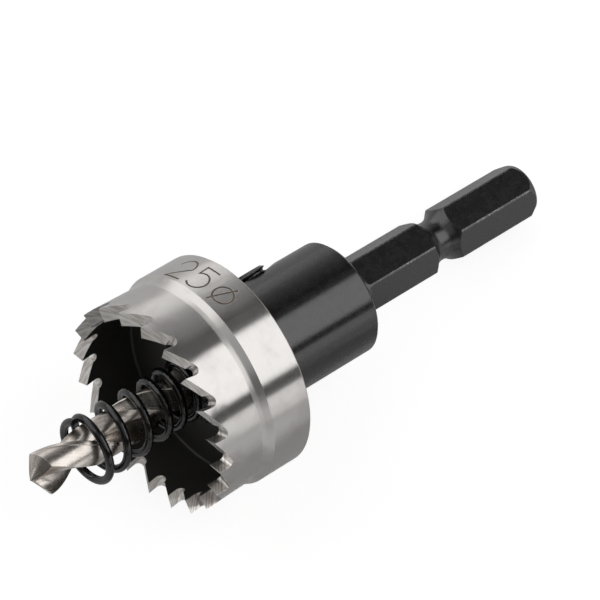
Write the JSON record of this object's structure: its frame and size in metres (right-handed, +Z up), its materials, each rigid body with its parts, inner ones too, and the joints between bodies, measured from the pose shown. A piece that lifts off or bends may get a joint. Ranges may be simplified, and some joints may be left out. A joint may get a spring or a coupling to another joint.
{
  "type": "hole saw",
  "caption": "Sheet-metal hole saw: a toothed steel cup on a hexagonal shank, with a pilot drill and an ejector spring.",
  "frame": {"origin": "middle of the tool's length and width, on the surface that it lies on", "axes": "+X along the tool towards its shank, +Z up; the tool lies on its flange and the end of its shank, so its own axis falls 12.6 degrees towards +X"},
  "size_m": [0.0712, 0.0256, 0.0274],
  "materials": {
    "ground_steel": "turned and ground",
    "black_oxide_steel": "satin black oxide",
    "drill_steel": "bright ground",
    "spring_steel": "glossy oil-blackened wire",
    "screw_steel": "black oxide"
  },
  "bodies": {
    "root": {"cutter_cup": "ground_steel", "arbor": "black_oxide_steel", "pilot_drill": "drill_steel", "ejector_spring": "spring_steel", "clamp_screw": "screw_steel"}
  },
  "joints": []
}
